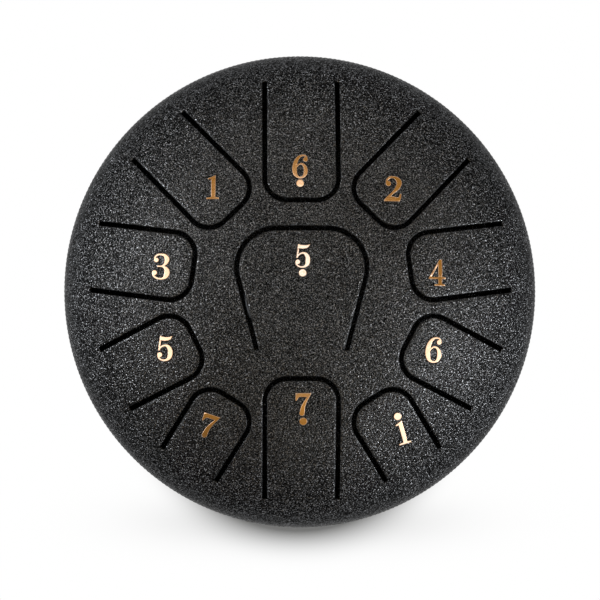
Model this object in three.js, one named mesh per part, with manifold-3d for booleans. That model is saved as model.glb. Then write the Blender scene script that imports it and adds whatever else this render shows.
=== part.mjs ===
// Steel tongue drum: two pressed steel shells welded rim to rim, eleven tongues cut in the upper one.
// Millimetres and degrees. +Z is up, the origin is on the table under the drum's axis, and +Y points
// from the player towards the low 6 tongue. Tongues are named after the notes that their numerals give.
import * as THREE from "three";
import { mergeVertices } from "three/addons/utils/BufferGeometryUtils.js";
import Module from "manifold-3d";

const wasm = await Module();
wasm.setup();

// Shells: both are pressed in one die, a shallow crown that rolls into an upright rim
const RIM_RADIUS = 76;
const DOME_HEIGHT = 42;
const KNUCKLE_RADIUS = 26;
const WALL = 1.6;
const SOUND_HOLE_RADIUS = 18;
const GROUND_CLEARANCE = 3;

// Seam: the rims meet on a flat land, and a weld bead fills the groove outside it
const SEAM_LAND = 0.6;
const WELD_CROWN = 0.2;
const WELD_GAP = 0.1;

// Tongues: a slot of one width runs round each, and ends square at the root line where it bends
const SLOT_WIDTH = 1.4;
const ROOT_GAP = 0.3;
const FAN_CENTRE_Y = 1.9;
const CORNER_RADIUS = 7;
const CENTRE_TIP_Y = 19;
const CENTRE_LENGTH = 37.9;
const CENTRE_TIP_WIDTH = 47.7;
const CENTRE_ROOT_WIDTH = 28;
const CENTRE_CORNER_RADIUS = 12.3;

// Outer tongues, in mirror-image pairs from the low octave round to the player's side
const LOW_PAIR = { azimuth: 90, rootInset: 9.9, tipRadius: 27.8, width: 23 };
const FAR_PAIR = { azimuth: 47.2, rootInset: 9.1, tipRadius: 32, width: 21.8 };
const UPPER_PAIR = { azimuth: 9.3, rootInset: 9.9, tipRadius: 34.4, width: 21.3 };
const LOWER_PAIR = { azimuth: -25.6, rootInset: 10.8, tipRadius: 36.8, width: 21.1 };
const NEAR_PAIR = { azimuth: -57.3, rootInset: 10.4, tipRadius: 40.5, width: 20 };

// Numerals: thin metal transfers, one height for the upper notes and one for the low octave
const NUMERAL_HEIGHT = 8;
const LOW_NUMERAL_HEIGHT = 7.5;
const NUMERAL_THICKNESS = 0.35;
const DOT_DIAMETER = 2.35;
const DOT_SPACING = 5.3;

// Tuning magnets: discs that hold to the underside of the lower note of each like-sized pair
const MAGNET_DIAMETER = 6;
const WHOLE_TONE_MAGNET = 2;
const SEMITONE_MAGNET = 1;
const MAGNET_INSET = 7;

// Feet: rubber bumpers bonded to the lower shell
const FOOT_COUNT = 3;
const FOOT_CIRCLE_RADIUS = 36;
const FOOT_BASE_RADIUS = 6.5;
const FOOT_TOP_RADIUS = 8;
const FOOT_FILLET = 1.5;

// Clearance between a piece and the curved face that carries it
const SEAT_GAP = 0.3;

// Facets
const TURN_STEPS = 60;
const CROWN_STEPS = 7;
const KNUCKLE_STEPS = 5;
const CORNER_STEPS = 3;
const SMALL_TURN_STEPS = 20;
const BALL_STEPS = 7;
const PEN_STEPS = 3;
const MERGE_TOLERANCE = 1e-4;

// Sizes that follow from these
const SEAM_Z = GROUND_CLEARANCE + DOME_HEIGHT;
const GROOVE_DEPTH = WALL - SEAM_LAND;
const KNUCKLE_CENTRE = RIM_RADIUS - KNUCKLE_RADIUS;
const CROWN_RADIUS =
  (DOME_HEIGHT ** 2 - KNUCKLE_RADIUS ** 2 + KNUCKLE_CENTRE ** 2) / (2 * (DOME_HEIGHT - KNUCKLE_RADIUS));
const CROWN_ANGLE = Math.asin(KNUCKLE_CENTRE / (CROWN_RADIUS - KNUCKLE_RADIUS));
const CROWN_CENTRE = DOME_HEIGHT - CROWN_RADIUS;

// Materials
const coatedSteel = new THREE.MeshStandardMaterial({ color: 0x2b2b2d, roughness: 0.6, metalness: 0.2 });
const goldFoil = new THREE.MeshStandardMaterial({ color: 0xd9a066, roughness: 0.25, metalness: 1 });
const blackRubber = new THREE.MeshStandardMaterial({ color: 0x161616, roughness: 0.85, metalness: 0 });
const nickelPlate = new THREE.MeshStandardMaterial({ color: 0xb9bcc0, roughness: 0.3, metalness: 1 });

// A closed geometry as a solid for cutting and joining.
function solidOf(geometry) {
  const bare = geometry.index ? geometry.toNonIndexed() : geometry.clone();
  bare.deleteAttribute("normal");
  bare.deleteAttribute("uv");
  const merged = mergeVertices(bare, MERGE_TOLERANCE);
  const mesh = new wasm.Mesh({
    numProp: 3,
    vertProperties: merged.attributes.position.array,
    triVerts: new Uint32Array(merged.index.array),
  });
  return new wasm.Manifold(mesh);
}

// A solid back as a geometry with its own normals.
function geometryOf(solid) {
  const mesh = solid.getMesh();
  const geometry = new THREE.BufferGeometry();
  geometry.setAttribute("position", new THREE.BufferAttribute(new Float32Array(mesh.vertProperties), 3));
  geometry.setIndex(new THREE.BufferAttribute(new Uint32Array(mesh.triVerts), 1));
  geometry.computeVertexNormals();
  return geometry;
}

// A profile of [radius, height] points turned about +Z.
function turned(profile, steps = TURN_STEPS) {
  const points = profile.map(([radius, height]) => new THREE.Vector2(radius, height));
  return new THREE.LatheGeometry(points, steps).rotateX(Math.PI / 2);
}

// A disc that stands on the level of the origin.
function disc(diameter, height, steps = SMALL_TURN_STEPS) {
  const cylinder = new THREE.CylinderGeometry(diameter / 2, diameter / 2, height, steps);
  return cylinder.rotateX(Math.PI / 2).translate(0, 0, height / 2);
}

// A flat outline raised along +Z from the level of the origin.
function raised(shape, height, curveSegments = CORNER_STEPS) {
  return new THREE.ExtrudeGeometry(shape, { depth: height, bevelEnabled: false, curveSegments });
}

function named(name, geometry, material) {
  const mesh = new THREE.Mesh(geometry, material);
  mesh.name = name;
  return mesh;
}

// Height above the seam of the surface that lies inset below the shell's outer face.
function domeHeight(radius, inset = 0) {
  const crown = CROWN_RADIUS - inset;
  const knuckle = KNUCKLE_RADIUS - inset;
  if (radius <= crown * Math.sin(CROWN_ANGLE)) {
    return CROWN_CENTRE + Math.sqrt(crown ** 2 - radius ** 2);
  }
  return Math.sqrt(Math.max(knuckle ** 2 - (radius - KNUCKLE_CENTRE) ** 2, 0));
}

// That surface's profile, from the axis out to where it comes down to endHeight above the seam.
function domeProfile(inset, endHeight) {
  const crown = CROWN_RADIUS - inset;
  const knuckle = KNUCKLE_RADIUS - inset;
  const endAngle = Math.acos(endHeight / knuckle);
  const points = [];
  for (let i = 0; i <= CROWN_STEPS; i++) {
    const angle = (CROWN_ANGLE * i) / CROWN_STEPS;
    points.push([crown * Math.sin(angle), CROWN_CENTRE + crown * Math.cos(angle)]);
  }
  for (let i = 1; i <= KNUCKLE_STEPS; i++) {
    const angle = CROWN_ANGLE + ((endAngle - CROWN_ANGLE) * i) / KNUCKLE_STEPS;
    points.push([KNUCKLE_CENTRE + knuckle * Math.sin(angle), knuckle * Math.cos(angle)]);
  }
  return points;
}

// One pressed shell, crown up, with its rim on the seam plane and half of the weld groove.
function pressedShell() {
  const outer = domeProfile(0, GROOVE_DEPTH);
  const inner = domeProfile(WALL, 0);
  return solidOf(turned([...inner, [RIM_RADIUS - GROOVE_DEPTH, 0], ...outer.reverse()]));
}

// Outline of a tongue, offset sideways by spread, in its own frame: the tip is at the origin and
// the root line lies across +X. Its tip corners are rounded, its root corners are square.
function tongueOutline(tongue, spread, length) {
  const lean = Math.atan2((tongue.rootWidth - tongue.tipWidth) / 2, tongue.length);
  const sideShift = spread / Math.cos(lean);
  const halfWidth = (along) => tongue.tipWidth / 2 + along * Math.tan(lean) + sideShift;
  const radius = tongue.cornerRadius + spread;
  const tip = -spread;
  const cornerHalfAngle = (Math.PI / 2 + lean) / 2;
  const centreAcross = halfWidth(tip) - radius / Math.tan(cornerHalfAngle);
  const centreAlong = tip + radius;
  const shape = new THREE.Shape();
  shape.moveTo(length, -halfWidth(length));
  shape.lineTo(length, halfWidth(length));
  shape.absarc(centreAlong, centreAcross, radius, Math.PI / 2 + lean, Math.PI, false);
  shape.absarc(centreAlong, -centreAcross, radius, Math.PI, 1.5 * Math.PI - lean, false);
  shape.closePath();
  return shape;
}

// The tongue outline as an upright block through the dome, placed over the drum.
function tongueBlock(tongue, spread, length) {
  const block = raised(tongueOutline(tongue, spread, length), 2 * DOME_HEIGHT);
  return solidOf(block.rotateZ(tongue.heading).translate(tongue.tip.x, tongue.tip.y, 0));
}

// An outer tongue of a pair's size. Its root's middle is at azimuth, rootInset in from the rim, its
// centre line runs from there to the fan centre, and its slot's tip is tipRadius from the drum's axis.
function outerTongue(note, pair, azimuth, extras) {
  const turn = THREE.MathUtils.degToRad(azimuth);
  const fan = new THREE.Vector2(0, FAN_CENTRE_Y);
  const root = new THREE.Vector2(Math.cos(turn), Math.sin(turn));
  root.multiplyScalar(RIM_RADIUS - pair.rootInset);
  const direction = root.clone().sub(fan).normalize();
  const nearest = fan.dot(direction);
  const reach = Math.sqrt(nearest ** 2 + pair.tipRadius ** 2 - fan.lengthSq()) - nearest;
  const tip = fan.clone().addScaledVector(direction, reach);
  const length = root.distanceTo(tip);
  const sizes = { length, tipWidth: pair.width, rootWidth: pair.width, cornerRadius: CORNER_RADIUS };
  return { note, heading: direction.angle(), tip, ...sizes, ...extras };
}

// The eleven tongues. A numeral's centre lies along and across from its tongue's tip, and turn is how
// far it is turned. Transfers are laid by hand, so each sits a little differently.
const TONGUES = [
  {
    note: "low_5",
    heading: -Math.PI / 2,
    tip: new THREE.Vector2(0, CENTRE_TIP_Y),
    length: CENTRE_LENGTH,
    tipWidth: CENTRE_TIP_WIDTH,
    rootWidth: CENTRE_ROOT_WIDTH,
    cornerRadius: CENTRE_CORNER_RADIUS,
    numeral: { digit: 5, dot: -1, along: 8.7, across: 0.2, turn: 0 },
  },
  outerTongue("low_6", LOW_PAIR, LOW_PAIR.azimuth, {
    magnet: WHOLE_TONE_MAGNET,
    numeral: { digit: 6, dot: -1, along: 10.6, across: 0.5, turn: 0 },
  }),
  outerTongue("low_7", LOW_PAIR, -LOW_PAIR.azimuth, {
    numeral: { digit: 7, dot: -1, along: 8.1, across: 0.5, turn: 0 },
  }),
  outerTongue("1", FAR_PAIR, 180 - FAR_PAIR.azimuth, {
    magnet: WHOLE_TONE_MAGNET,
    numeral: { digit: 1, dot: 0, along: 10.4, across: -0.9, turn: 0 },
  }),
  outerTongue("2", FAR_PAIR, FAR_PAIR.azimuth, {
    numeral: { digit: 2, dot: 0, along: 10.6, across: 0, turn: 0 },
  }),
  outerTongue("3", UPPER_PAIR, 180 - UPPER_PAIR.azimuth, {
    magnet: SEMITONE_MAGNET,
    numeral: { digit: 3, dot: 0, along: 10.3, across: 0.6, turn: 0 },
  }),
  outerTongue("4", UPPER_PAIR, UPPER_PAIR.azimuth, {
    numeral: { digit: 4, dot: 0, along: 8.4, across: -2.3, turn: 0 },
  }),
  outerTongue("5", LOWER_PAIR, 180 - LOWER_PAIR.azimuth, {
    magnet: WHOLE_TONE_MAGNET,
    numeral: { digit: 5, dot: 0, along: 9.7, across: -1.4, turn: 0 },
  }),
  outerTongue("6", LOWER_PAIR, LOWER_PAIR.azimuth, {
    numeral: { digit: 6, dot: 0, along: 8.6, across: 0.3, turn: 0 },
  }),
  outerTongue("7", NEAR_PAIR, 180 - NEAR_PAIR.azimuth, {
    magnet: SEMITONE_MAGNET,
    numeral: { digit: 7, dot: 0, along: 11.3, across: -1.1, turn: -18 },
  }),
  outerTongue("high_1", NEAR_PAIR, NEAR_PAIR.azimuth, {
    numeral: { digit: 1, dot: 1, along: 14.3, across: 2.3, turn: 17 },
  }),
];

// Numeral drawings, in hundredths of the numeral's height from its centre. A pen stroke is a row of
// [x, y, width] that a smooth line goes through, a ball is [x, y, radius], a plate a straight outline.
const DIGITS = {
  1: {
    plates: [
      [[-6, -42], [10.5, -42], [11.5, 48], [6, 44.5], [-8.5, 38.5], [-18, 35], [-18, 30.5], [-6, 31]],
      [[-24.5, -48], [24.5, -48], [24.5, -42], [12.5, -40], [-7.5, -40], [-24.5, -42]],
    ],
  },
  2: {
    strokes: [
      [
        [-25.5, 21.5, 5.5], [-22, 36, 7], [-10.5, 45, 8], [2, 45.5, 8.5], [16.5, 39, 15.5], [25, 25, 21],
        [21.5, 10, 18], [10, -5.5, 12.5], [-5, -20, 9], [-20.5, -34.5, 8.5], [-32, -45.5, 7.5],
      ],
    ],
    balls: [[-18, 20.5, 10.5]],
    plates: [
      [
        [-36, -46], [-36, -50], [26.5, -50], [31.5, -36], [33.5, -20.5], [27.5, -20.5], [24, -31],
        [19, -35], [6, -32.5], [-8, -30.5], [-22, -34],
      ],
    ],
  },
  3: {
    strokes: [
      [
        [-22.5, 25.5, 5.5], [-20.5, 38, 6.5], [-10, 46, 7.5], [3, 47, 7.5], [17, 42.5, 12], [25.5, 29, 18.5],
        [22, 14.5, 14.5], [13, 5, 8], [3, 1, 6], [-9, 1, 6],
      ],
      [
        [1, 1.5, 5], [14.5, -3, 9.5], [24, -14.5, 18.5], [25, -27.5, 21], [20, -39.5, 17], [10, -46.5, 9],
        [-3, -48, 7], [-17.5, -44.5, 7], [-27.5, -36, 7], [-31, -24.5, 6.5],
      ],
    ],
    balls: [[-16.5, 25.5, 9], [-24, -24.5, 10], [-9.5, 1, 3.5]],
  },
  4: {
    plates: [
      [[4.5, -47.5], [20, -47.5], [20, 51.5], [9.5, 51.5], [4.5, 43.5]],
      [[-11, -51.5], [31, -51.5], [31, -46], [20.5, -43.5], [4, -43.5], [-11, -46]],
      [[-34, -25], [33.5, -25], [33.5, -17], [-32, -17]],
      [[-34, -25], [-24.5, -18.5], [8, 37], [19.5, 51.5], [9.5, 51.5], [-34, -21.5]],
    ],
  },
  5: {
    plates: [
      [
        [-18.5, 49.5], [-8, 46], [6, 44], [19, 45], [31, 48.5], [24.5, 36], [14.5, 31], [0, 29], [-14, 31],
        [-19, -8.5], [-26, -8.5],
      ],
    ],
    strokes: [
      [
        [-21, -3, 5], [-17, 3, 6], [-9, 9, 7], [2, 11.5, 8], [13, 7, 13.5], [21, -6.5, 18], [21.5, -20.5, 19],
        [18.5, -34, 16], [9, -44, 10], [-3, -46.5, 7.5], [-16, -43.5, 7], [-25, -35, 7], [-26.8, -25, 6.4],
      ],
    ],
    balls: [[-20, -25, 10]],
  },
  6: {
    strokes: [
      [
        [29, 30, 5.5], [28, 38.5, 6], [21, 45.5, 6.5], [9.5, 47, 7], [-4.5, 40.5, 10.5], [-16, 24, 16],
        [-22, 1.5, 19.5], [-22.5, -18.5, 19], [-18, -35.5, 14.5], [-7.5, -45, 9.5], [1, -47, 7],
      ],
      [
        [-3, -47, 7], [1, -47, 7], [12, -44, 9.5], [20.5, -32.5, 14.5], [23.5, -17.5, 16.5], [20.5, -2, 13.5],
        [12, 9, 9], [1.5, 11.5, 6.5], [-8, 6, 5.5], [-15, -3, 4],
      ],
    ],
    balls: [[22.5, 30, 9.5]],
  },
  7: {
    plates: [[[-32.5, 48], [32.5, 48], [25.5, 31.5], [-15, 31.5], [-21, 28], [-28, 15.5], [-32.5, 15.5]]],
    strokes: [[[22.5, 37, 8.5], [19, 30, 9], [10.5, 15.5, 10.5], [-1, -10.5, 16], [-5.5, -37, 21]]],
    balls: [[-5.5, -37, 10.5]],
  },
};

// The two edges of a pen stroke as one closed outline.
function strokeShape(stroke) {
  const line = new THREE.CatmullRomCurve3(stroke.map(([x, y, width]) => new THREE.Vector3(x, y, width)));
  const count = (stroke.length - 1) * PEN_STEPS;
  const left = [];
  const right = [];
  for (let i = 0; i <= count; i++) {
    const point = line.getPoint(i / count);
    const tangent = line.getTangent(i / count);
    const across = new THREE.Vector2(-tangent.y, tangent.x).normalize().multiplyScalar(point.z / 2);
    left.push(new THREE.Vector2(point.x + across.x, point.y + across.y));
    right.unshift(new THREE.Vector2(point.x - across.x, point.y - across.y));
  }
  return new THREE.Shape([...right, ...left].reverse());
}

function ballShape([x, y, radius]) {
  return new THREE.Shape().absarc(x, y, radius, 0, 2 * Math.PI, false);
}

function plateShape(corners) {
  return new THREE.Shape(corners.map(([x, y]) => new THREE.Vector2(x, y)));
}

// A digit as one flat solid, height tall.
function digitSolid(digit, height) {
  const { strokes = [], balls = [], plates = [] } = DIGITS[digit];
  const shapes = [...strokes.map(strokeShape), ...balls.map(ballShape), ...plates.map(plateShape)];
  const scale = height / 100;
  const pieces = shapes.map((shape) => raised(shape, NUMERAL_THICKNESS, BALL_STEPS).scale(scale, scale, 1));
  return pieces.map(solidOf).reduce((whole, piece) => whole.add(piece));
}

// Lays a flat transfer, drawn round its own centre, on the dome at a point of the tongue's frame.
function laid(geometry, tongue, along, across, turn) {
  const place = new THREE.Vector2(along, across).rotateAround(new THREE.Vector2(), tongue.heading);
  place.add(tongue.tip);
  geometry.rotateZ(turn).translate(place.x, place.y, 0);
  const points = geometry.attributes.position;
  for (let i = 0; i < points.count; i++) {
    const surface = domeHeight(Math.hypot(points.getX(i), points.getY(i)));
    points.setZ(i, points.getZ(i) + surface + SEAT_GAP);
  }
  geometry.computeVertexNormals();
  return geometry;
}

// A tongue's numeral and, in the low and high octaves, the dot under or over it.
function numeralMeshes(tongue) {
  const { digit, dot, along, across, turn } = tongue.numeral;
  const height = dot < 0 ? LOW_NUMERAL_HEIGHT : NUMERAL_HEIGHT;
  const turnAngle = THREE.MathUtils.degToRad(turn);
  const figure = laid(geometryOf(digitSolid(digit, height)), tongue, along, across, turnAngle);
  const meshes = [named(`numeral_${tongue.note}`, figure, goldFoil)];
  if (dot !== 0) {
    const spot = disc(DOT_DIAMETER, NUMERAL_THICKNESS).translate(0, dot * DOT_SPACING, 0);
    meshes.push(named(`dot_${tongue.note}`, laid(spot, tongue, along, across, turnAngle), goldFoil));
  }
  return meshes;
}

// The magnet under a tongue, flat against its inner face near the tip.
function magnetMesh(tongue) {
  const place = tongue.tip.clone();
  place.x += MAGNET_INSET * Math.cos(tongue.heading);
  place.y += MAGNET_INSET * Math.sin(tongue.heading);
  const slope = Math.asin(place.length() / (CROWN_RADIUS - WALL));
  const depth = CROWN_RADIUS - WALL - SEAT_GAP - tongue.magnet;
  const magnet = named(`magnet_${tongue.note}`, disc(MAGNET_DIAMETER, tongue.magnet), nickelPlate);
  const outward = new THREE.Vector3(place.x, place.y, 0).normalize().multiplyScalar(Math.sin(slope));
  outward.z = Math.cos(slope);
  magnet.position.set(0, 0, CROWN_CENTRE).addScaledVector(outward, depth);
  magnet.quaternion.setFromUnitVectors(new THREE.Vector3(0, 0, 1), outward);
  return magnet;
}

// The upper half: the shell with an opening for each tongue, the tongues, numerals and magnets.
function upperHalf() {
  const half = new THREE.Group();
  const dome = pressedShell();
  let shell = dome;
  for (const tongue of TONGUES) {
    shell = shell.subtract(tongueBlock(tongue, SLOT_WIDTH / 2, tongue.length));
    const blade = dome.intersect(tongueBlock(tongue, -SLOT_WIDTH / 2, tongue.length - ROOT_GAP));
    half.add(named(`tongue_${tongue.note}`, geometryOf(blade), coatedSteel), ...numeralMeshes(tongue));
    if (tongue.magnet) {
      half.add(magnetMesh(tongue));
    }
  }
  half.add(named("top_shell", geometryOf(shell), coatedSteel));
  half.position.z = SEAM_Z;
  return half;
}

// The lower half: the same pressing turned over, with the sound hole.
function lowerHalf() {
  const half = new THREE.Group();
  const punch = solidOf(disc(2 * SOUND_HOLE_RADIUS, 2 * DOME_HEIGHT, TURN_STEPS));
  half.add(named("bottom_shell", geometryOf(pressedShell().subtract(punch)), coatedSteel));
  half.rotation.x = Math.PI;
  half.position.z = SEAM_Z;
  return half;
}

// The weld bead that joins the rims, a ring with a low crown.
function seamWeld() {
  const reach = GROOVE_DEPTH - WELD_GAP * Math.SQRT2;
  const root = [RIM_RADIUS - reach, 0];
  const profile = [root, [RIM_RADIUS, -reach], [RIM_RADIUS + WELD_CROWN, 0], [RIM_RADIUS, reach], root];
  const weld = named("seam_weld", turned(profile), coatedSteel);
  weld.position.z = SEAM_Z;
  return weld;
}

// The rubber feet: tapered bumpers whose tops follow the lower shell.
function feet() {
  const group = new THREE.Group();
  const top = GROUND_CLEARANCE + DOME_HEIGHT;
  const profile = [[0, 0], [FOOT_BASE_RADIUS - FOOT_FILLET, 0]];
  for (let i = 1; i <= CORNER_STEPS; i++) {
    const angle = ((Math.PI / 2) * i) / CORNER_STEPS;
    const radius = FOOT_BASE_RADIUS - FOOT_FILLET + FOOT_FILLET * Math.sin(angle);
    profile.push([radius, FOOT_FILLET - FOOT_FILLET * Math.cos(angle)]);
  }
  const shoulder = GROUND_CLEARANCE + DOME_HEIGHT - domeHeight(FOOT_CIRCLE_RADIUS);
  profile.push([FOOT_TOP_RADIUS, shoulder], [FOOT_TOP_RADIUS, top], [0, top]);
  const belly = turned([[0, 0], ...domeProfile(-SEAT_GAP, 0).reverse()]);
  const bowl = solidOf(belly.rotateX(Math.PI).translate(0, 0, SEAM_Z));
  for (let i = 0; i < FOOT_COUNT; i++) {
    const azimuth = Math.PI / 2 + (2 * Math.PI * i) / FOOT_COUNT;
    const bumper = turned(profile, SMALL_TURN_STEPS);
    bumper.translate(FOOT_CIRCLE_RADIUS * Math.cos(azimuth), FOOT_CIRCLE_RADIUS * Math.sin(azimuth), 0);
    group.add(named(`foot_${i + 1}`, geometryOf(solidOf(bumper).subtract(bowl)), blackRubber));
  }
  return group;
}

const drum = new THREE.Group();
drum.add(upperHalf(), lowerHalf(), seamWeld(), feet());

export default drum;
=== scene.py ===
import bpy
import numpy as np
from mathutils import Matrix, Vector
from mathutils.geometry import delaunay_2d_cdt


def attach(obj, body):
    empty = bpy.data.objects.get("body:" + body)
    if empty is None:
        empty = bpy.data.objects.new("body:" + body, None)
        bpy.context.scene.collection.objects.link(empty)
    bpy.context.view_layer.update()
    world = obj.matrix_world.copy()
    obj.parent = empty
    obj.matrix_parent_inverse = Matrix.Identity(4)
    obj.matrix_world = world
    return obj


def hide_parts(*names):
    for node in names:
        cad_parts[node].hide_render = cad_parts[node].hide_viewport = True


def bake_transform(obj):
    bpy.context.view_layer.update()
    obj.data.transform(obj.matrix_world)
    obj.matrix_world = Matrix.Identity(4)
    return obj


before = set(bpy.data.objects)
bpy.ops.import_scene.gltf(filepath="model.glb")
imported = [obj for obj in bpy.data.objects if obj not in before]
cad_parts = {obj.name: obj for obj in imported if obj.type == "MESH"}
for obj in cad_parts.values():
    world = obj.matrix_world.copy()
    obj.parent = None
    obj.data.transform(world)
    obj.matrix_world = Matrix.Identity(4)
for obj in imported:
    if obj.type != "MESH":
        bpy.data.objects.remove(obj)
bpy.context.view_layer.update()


# Lower shell: a disc of mild steel, pressed in a die into a shallow crown that rolls over into an upright
# rim, with the sound hole punched in its middle. A charcoal powder coat is sprayed on and baked.
MM = 0.001
RIM_RADIUS = 76 * MM
DOME_HEIGHT = 42 * MM
KNUCKLE_RADIUS = 26 * MM
WALL = 1.6 * MM
SEAM_Z = 45 * MM
WELD_GROOVE = 1 * MM
SOUND_HOLE_RADIUS = 18 * MM
KNUCKLE_CENTRE = RIM_RADIUS - KNUCKLE_RADIUS
CROWN_RISE = DOME_HEIGHT - KNUCKLE_RADIUS
CROWN_RADIUS = (DOME_HEIGHT**2 - KNUCKLE_RADIUS**2 + KNUCKLE_CENTRE**2) / (2 * CROWN_RISE)
CROWN_ANGLE = np.arcsin(KNUCKLE_CENTRE / (CROWN_RADIUS - KNUCKLE_RADIUS))
CROWN_CENTRE = DOME_HEIGHT - CROWN_RADIUS
TURN_STEPS = 360
FACE_STEPS = 90
LIP_STEPS = 12
SHARP_ANGLE = np.radians(40)


def face_profile(inset, start_slope, end_height, steps):
    """Points (radius, height above the seam) down the face that lies inset below the pressing's outer face.
    The slope a grows evenly from start_slope. A point is an arc's centre plus its radius times (sin a,
    cos a): the crown's arc at first, and the knuckle's past the angle where the two meet."""
    end_slope = np.arccos(end_height / (KNUCKLE_RADIUS - inset))
    slope = np.linspace(start_slope, end_slope, steps)
    on_crown = slope <= CROWN_ANGLE
    reach = np.where(on_crown, CROWN_RADIUS, KNUCKLE_RADIUS) - inset
    radius = np.where(on_crown, 0, KNUCKLE_CENTRE) + reach * np.sin(slope)
    height = np.where(on_crown, CROWN_CENTRE, 0) + reach * np.cos(slope)
    return np.stack([radius, height], axis=1)


def grid_faces(index, wrap_rows=True, wrap_columns=True):
    """Quads between the neighbours of a grid of point numbers, which may close on itself either way."""
    rows = index if not wrap_rows else np.concatenate([index, index[:1]])
    grid = rows if not wrap_columns else np.concatenate([rows, rows[:, :1]], axis=1)
    corners = [grid[:-1, :-1], grid[1:, :-1], grid[1:, 1:], grid[:-1, 1:]]
    return np.stack(corners, axis=-1).reshape(-1, 4)


def turned(profile, steps):
    """A ring: the point (u, v) is point v of a closed (radius, height) profile, turned to azimuth u."""
    azimuth = np.arange(steps) * 2 * np.pi / steps
    points = np.empty((steps, len(profile), 3))
    points[..., 0] = np.outer(np.cos(azimuth), profile[:, 0])
    points[..., 1] = np.outer(np.sin(azimuth), profile[:, 0])
    points[..., 2] = profile[:, 1]
    return points.reshape(-1, 3), [grid_faces(np.arange(steps * len(profile)).reshape(steps, -1))]


def new_piece(name, points, faces, material, slot):
    """A smooth mesh object with sharp creases. faces is a list of index arrays, one per corner count."""
    mesh = bpy.data.meshes.new(name)
    corners = np.concatenate([group.ravel() for group in faces])
    counts = np.concatenate([np.full(len(group), group.shape[1]) for group in faces])
    mesh.vertices.add(len(points))
    mesh.vertices.foreach_set("co", np.asarray(points, np.float32).ravel())
    mesh.loops.add(len(corners))
    mesh.loops.foreach_set("vertex_index", corners.astype(np.int32))
    mesh.polygons.add(len(counts))
    mesh.polygons.foreach_set("loop_start", (np.cumsum(counts) - counts).astype(np.int32))
    mesh.update(calc_edges=True)
    mesh.shade_smooth()
    mesh.set_sharp_from_angle(angle=SHARP_ANGLE)
    mesh.materials.append(material)
    piece = bpy.data.objects.new(name, mesh)
    bpy.context.scene.collection.objects.link(piece)
    return piece


class Wire:
    """One output of a shader node. Arithmetic on it adds Math nodes, and node() adds a node of any kind."""

    def __init__(self, tree, socket=None):
        self.tree = tree
        self.socket = socket

    def node(self, kind, sockets=None, settings=None, output=0):
        """Adds a node. settings are its own values, a ramp's stops among them, and are set first. sockets
        holds a value or a wire for an input's name or number."""
        made = self.tree.nodes.new(kind)
        for name, value in (settings or {}).items():
            if name == "stops":
                elements = made.color_ramp.elements
                while len(elements) < len(value):
                    elements.new(1)
                for element, (position, colour) in zip(elements, value):
                    element.position = position
                    element.color = (*colour, 1)
            else:
                setattr(made, name, value)
        for name, value in (sockets or {}).items():
            if isinstance(value, Wire):
                self.tree.links.new(value.socket, made.inputs[name])
            else:
                made.inputs[name].default_value = value
        return Wire(self.tree, made.outputs[output] if made.outputs else None)

    def __add__(self, other):
        return self.node("ShaderNodeMath", {0: self, 1: other}, {"operation": "ADD"})

    def __sub__(self, other):
        return self.node("ShaderNodeMath", {0: self, 1: other}, {"operation": "SUBTRACT"})

    def __rsub__(self, other):
        return self.node("ShaderNodeMath", {0: other, 1: self}, {"operation": "SUBTRACT"})

    def __mul__(self, other):
        return self.node("ShaderNodeMath", {0: self, 1: other}, {"operation": "MULTIPLY"})

    __radd__ = __add__
    __rmul__ = __mul__


def new_finish(name):
    """An empty node material, and a wire that its nodes start from."""
    material = bpy.data.materials.new(name)
    material.use_nodes = True
    material.node_tree.nodes.clear()
    return material, Wire(material.node_tree)


# The coat's grain is a quarter to three quarters of a millimetre across, with paler metallic glints and a
# rough
# sheen. Its tone follows its relief: dark in the pits, which is painted shade, and paler on the lumps, which
# is painted light. Towards the rim the grain is coarser, and the coat is darker there as painted shade, with
# more painted contrast of light and shade on the brow. At the rounded slot edges the coat is drawn thin, so
# there it is smoother, and it is a little paler as a painted highlight along the edges.
COARSE_START = 50 * MM
BROW_START = 69 * MM
BROW_END = 75.7 * MM
GLINT_COLOUR = (0.24, 0.246, 0.258, 1)
coat, wire = new_finish("charcoal_powder_coat")
place = wire.node("ShaderNodeTexCoord", output="Object")
edge = wire.node("ShaderNodeAttribute", settings={"attribute_name": "slot_edge"}, output="Fac")
sand = wire.node("ShaderNodeTexNoise", {"Vector": place, "Scale": 3800, "Detail": 1, "Roughness": 0.5})
lumps = wire.node("ShaderNodeTexNoise", {"Vector": place, "Scale": 1400, "Detail": 1, "Roughness": 0.5})
mottle = wire.node("ShaderNodeTexNoise", {"Vector": place, "Scale": 110, "Detail": 3, "Roughness": 0.6})
specks = wire.node("ShaderNodeTexNoise", {"Vector": place, "Scale": 2600, "Detail": 0})
flat = wire.node("ShaderNodeVectorMath", {0: place, 1: (1, 1, 0)}, {"operation": "MULTIPLY"})
from_axis = wire.node("ShaderNodeVectorMath", {0: flat}, {"operation": "LENGTH"}, "Value")
rim = wire.node("ShaderNodeMapRange", {"Value": from_axis, "From Min": COARSE_START, "From Max": RIM_RADIUS})
brow = wire.node("ShaderNodeMapRange", {"Value": from_axis, "From Min": BROW_START, "From Max": BROW_END})
grain = sand + (lumps - sand) * (0.15 + rim * 0.55)
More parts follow.
